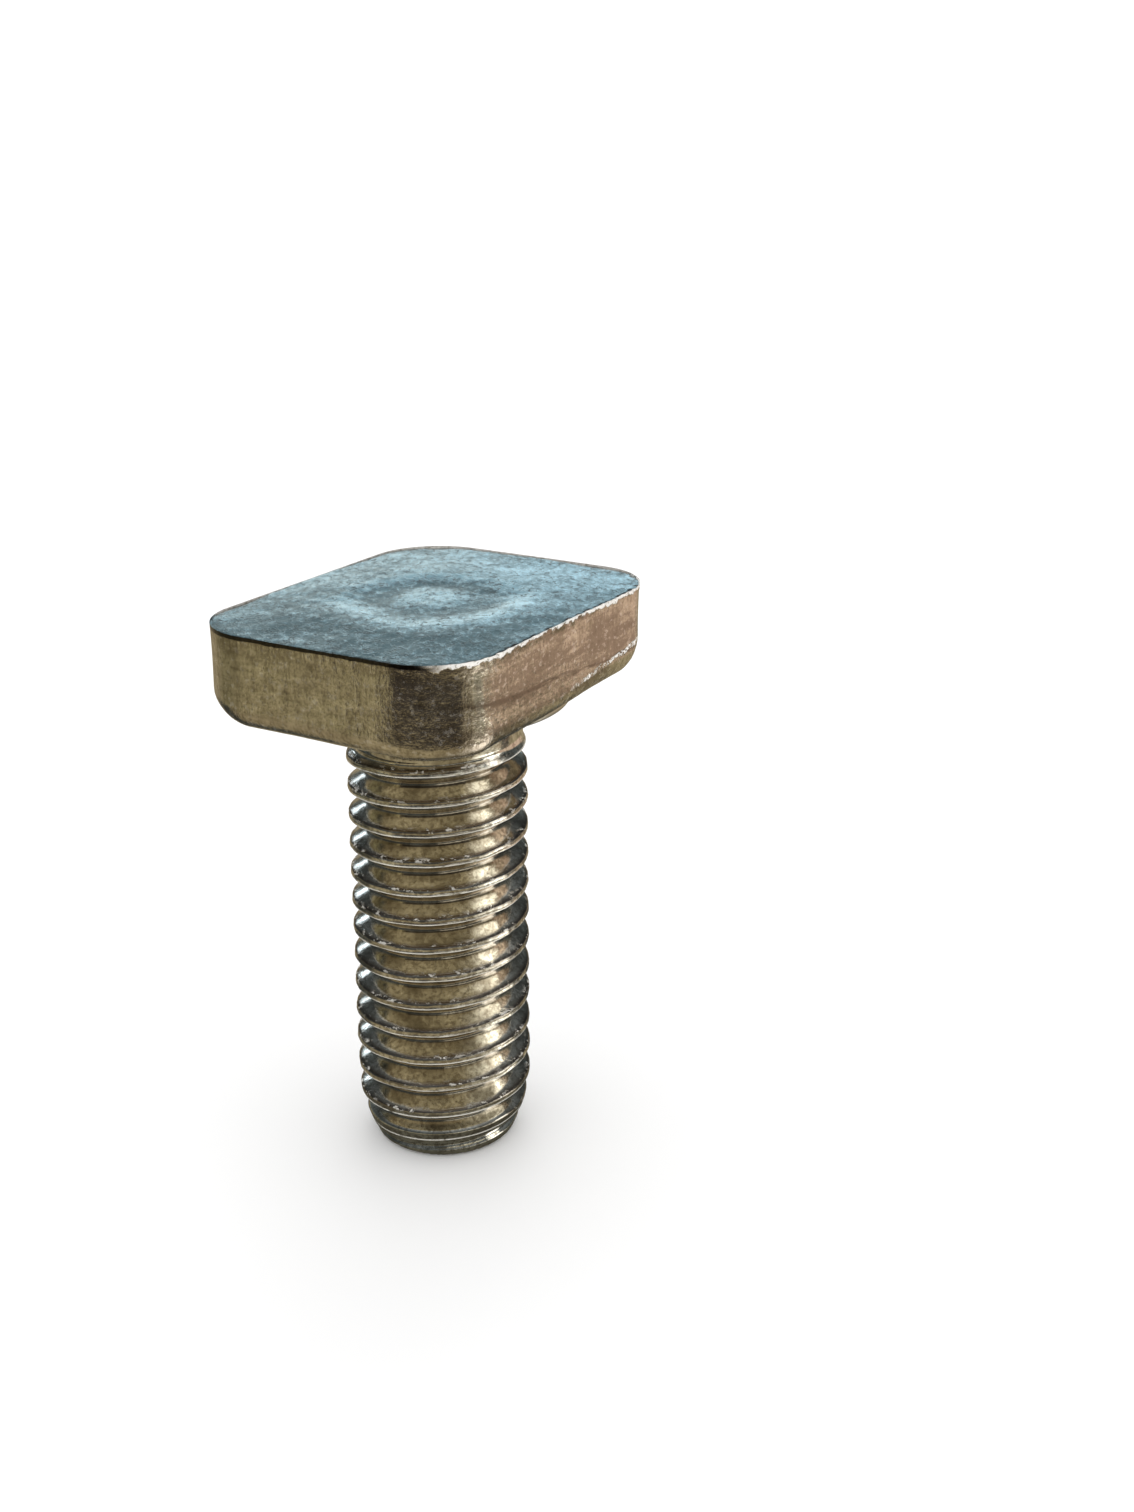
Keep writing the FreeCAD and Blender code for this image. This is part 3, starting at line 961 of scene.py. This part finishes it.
# %% A window in the sky
def pane(nodes, direction, azimuths, elevations, soft):
    """1 inside a window of directions, 0 outside it. The direction, given by its three parts, is
    turned until the middle of the window lies ahead, and its two angles are compared with the
    window's half sizes."""
    middle, half = math.radians(sum(azimuths) / 2), math.radians(azimuths[1] - azimuths[0]) / 2
    low, high, blur = (math.radians(v) for v in (*elevations, soft))
    east, north, up = direction
    ahead = east * math.cos(middle) + north * math.sin(middle)
    aside = north * math.cos(middle) - east * math.sin(middle)
    lift = nodes.add("ShaderNodeMath", {"operation": "ARCSINE"}, {0: up})
    return (abs(nodes.turn(ahead, aside)).step(half + blur / 2, half - blur / 2)
            * lift.step(low - blur / 2, low + blur / 2) * lift.step(high + blur / 2, high - blur / 2))


PANES = {  # azimuths, elevations, softness in degrees, colour
    "dim window": ((111, 136), (-6, 30), 7, (0.20, 0.34, 0.40)),
    "clear window": ((110, 135), (1, 15), 7, (0.67, 0.84, 0.865)),
    "blue of the window": ((109, 122), (1, 15), 7, (0.63, 0.95, 1.10)),
    "bright window": ((146, 153), (10, 15), 2, (2.3, 2.7, 3.0)),
    "open sky": ((9, 33), (-1, 36), 5, (2.2, 2.15, 2.0)),
    "strip of sky": ((-60, 10), (3, 9), 4, (1.3, 1.25, 1.1)),
}
print("panes of the surroundings:", ", ".join(PANES))

# %% [markdown]
# The sky itself is a ramp from straight below to straight above, and the windows are laid over
# it one by one. The Light Path node then tells mirror rays from all others.

# %% Sky for mirror rays, plain white for all others
world = bpy.data.worlds.new("surroundings")
world.use_nodes = True
bpy.context.scene.world = world
nodes = Nodes(world.node_tree)
direction = nodes.parts(nodes.add("ShaderNodeTexCoord", output=0))
shade = nodes.add("ShaderNodeValToRGB", {"stops": [
    (0.00, (0.30, 0.26, 0.16)),
    (0.49, (0.24, 0.20, 0.13)),
    (0.52, (0.12, 0.13, 0.12)),
    (0.62, (0.06, 0.07, 0.07)),
    (0.72, (0.04, 0.045, 0.045)),
    (0.90, (0.16, 0.17, 0.17)),
    (0.98, (0.42, 0.43, 0.42)),
]}, {0: direction[2] * 0.5 + 0.5})
for azimuths, elevations, soft_edge, colour in PANES.values():
    shade = nodes.mix(pane(nodes, direction, azimuths, elevations, soft_edge), shade, colour)
mirror_ray = nodes.add("ShaderNodeLightPath", output=3)
shade = nodes.mix(mirror_ray, (1.15, 1.15, 1.15), shade)
sky = nodes.add("ShaderNodeBackground", {}, {"Color": shade, "Strength": 1.0})
nodes.add("ShaderNodeOutputWorld", {}, {"Surface": sky})
print("nodes in the world:", len(world.node_tree.nodes))

# %% [markdown]
# ## What the steel mirrors below it
#
# What lies below needs a place of its own, because the end of the bolt mirrors only what is right
# beside it, and the head mirrors what lies a few centimetres away. So it is a second disc on the
# floor that mirror rays alone can see, and it gives off a warm light. Its tones are set by the
# polar angle and the distance from the bolt.

# %% Disc that only the steel sees
def sector(turn, low, high, blur=0.05):
    """1 between two azimuths in degrees, 0 outside them."""
    low, high = math.radians(low), math.radians(high)
    return turn.step(low - blur, low + blur) * turn.step(high + blur, high - blur)


table = disc("mirrored_table")
table.visible_camera = table.visible_diffuse = table.visible_shadow = False
table.visible_transmission = table.visible_volume_scatter = False
material, nodes, place = finish("mirrored_table")
east, north = nodes.parts(place)[:2]
turn = nodes.turn(east, north)
away = nodes.add("ShaderNodeVectorMath", {"operation": "LENGTH"}, {0: place}, output=1)
TABLE, NEAR_TABLE, DARK_TABLE = (0.335, 0.28, 0.172), (0.055, 0.055, 0.045), (0.05, 0.055, 0.05)

# %% [markdown]
# The thread mirrors what lies within 4 cm: a painted shadow of the bolt, a dark ring right round
# its foot, a lighter patch beyond it on the +X side, dark patches that show on the left and the
# right of the thread, and a lit patch that gives the bright spot on the right of every turn.

# %% Tones near the bolt
# Painted shadow of the bolt on the mirrored disc: dark within about 9 mm of its axis.
shade = nodes.mix(away.step(9.0, 4.0) * 0.9, TABLE, NEAR_TABLE)
beside = sector(turn, -26, 28, 0.25) * away.step(5.0, 9.0) * away.step(20.0, 13.0)
shade = nodes.mix(beside, shade, (0.54, 0.50, 0.39))
dark_left = sector(turn, -200, -150, 0.12) + turn.step(2.7, 3.0)
dark_right = sector(turn, 36, 53) + sector(turn, 70, 120, 0.08) * away.step(29.0, 24.0)
dark = dark_left * away.step(8.0, 12.0) + dark_right * away.step(4.0, 7.0)
shade = nodes.mix(dark, shade, DARK_TABLE)
lit = turn.step(math.radians(-18), math.radians(26)) * turn.step(math.radians(38), math.radians(31))
shade = nodes.mix(lit * away.step(10.0, 19.0) * away.step(41.0, 36.0), shade, (3.0, 2.9, 2.6))

# %% [markdown]
# Further out lies what the sides of the head mirror: a warm tone for each of the two near sides,
# a dark one between them, a painted shade, for the rounded corner, and a paler strip for the place
# where that corner runs into the +X side.

# %% Tones further out
FAR_SOFTNESS = 6.0  # mm
FAR_TABLE = {  # azimuths, the distance in mm where it starts, colour
    "all of it": ((-190, 190), 43, (0.335, 0.28, 0.18)),
    "left": ((-179, -119), 43, (0.222, 0.194, 0.108)),
    "front left": ((-125, -119), 43, (0.80, 0.70, 0.40)),
    "dark strip": ((-144, -135), 43, (0.17, 0.145, 0.08)),
    # painted shade in front of the bolt
    "dark front": ((-120, -8), 38, (0.042, 0.035, 0.028)),
    "light strip": ((4, 20), 43, (0.33, 0.33, 0.275)),
    "right": ((28, 88), 43, (0.62, 0.455, 0.345)),
    "right, beside the corner": ((38, 51), 43, (0.72, 0.57, 0.43)),
}
for (low, high), start, colour in FAR_TABLE.values():
    shade = nodes.mix(away.step(start, start + FAR_SOFTNESS) * sector(turn, low, high), shade, colour)
glow = nodes.add("ShaderNodeEmission", {}, {"Color": shade})
nodes.add("ShaderNodeOutputMaterial", {}, {"Surface": glow})
table.data.materials.append(material)
print("tones further out:", ", ".join(FAR_TABLE))

# %% [markdown]
# ## The lamp
#
# One large soft lamp stands behind the bolt and to its side. It shapes the shadow on the floor.
# Mirror rays don't see it, since its reflection would burn out the top of the head from above.

# %% Soft lamp
def soft_lamp(name, azimuth, elevation, distance, size, power):
    """A square lamp that faces the middle of the bolt. Lengths are in metres here."""
    lamp = bpy.data.lights.new(name, "AREA")
    lamp.size, lamp.energy = size, power
    holder = bpy.data.objects.new(name, lamp)
    a, e = math.radians(azimuth), math.radians(elevation)
    out = np.array([math.cos(a) * math.cos(e), math.sin(a) * math.cos(e), math.sin(e)])
    holder.location = out * distance + [0, 0, 0.009]
    holder.rotation_euler = (math.pi / 2 - e, 0, a + math.pi / 2)
    holder.visible_camera = holder.visible_glossy = False
    bpy.context.collection.objects.link(holder)
    print(name, "gives", power, "W from", distance, "m")


soft_lamp("window_lamp", 116, 56, 0.35, 0.16, 0.12)

# %% [markdown]
# ## Camera
#
# The camera's place was solved from the outlines of the bolt in the photo. It looks down by
# 20 degrees on one corner of the head, from 6.6 cm away. The view is left untouched by a tone
# curve, so that the colours above come out as they were chosen.

# %% Camera
camera = bpy.data.objects.new("camera", bpy.data.cameras.new("camera"))
bpy.context.collection.objects.link(camera)
camera.location = (0.031526, -0.046481, 0.033847)
camera.rotation_euler = (math.radians(90 - 19.967), 0, math.radians(29.856))
camera.data.sensor_width = 36.0
camera.data.lens = 43.85
camera.data.clip_start = 0.001
bpy.context.scene.camera = camera
bpy.context.scene.view_settings.view_transform = "Standard"
print("distance of the camera:", round(camera.location.length * 100, 1), "cm")

# %% [markdown]
# ## Finish
#
# Dressing the bolt must not change its size. Last, the scene is brought up to date.

# %% Finish
bpy.context.view_layer.update()
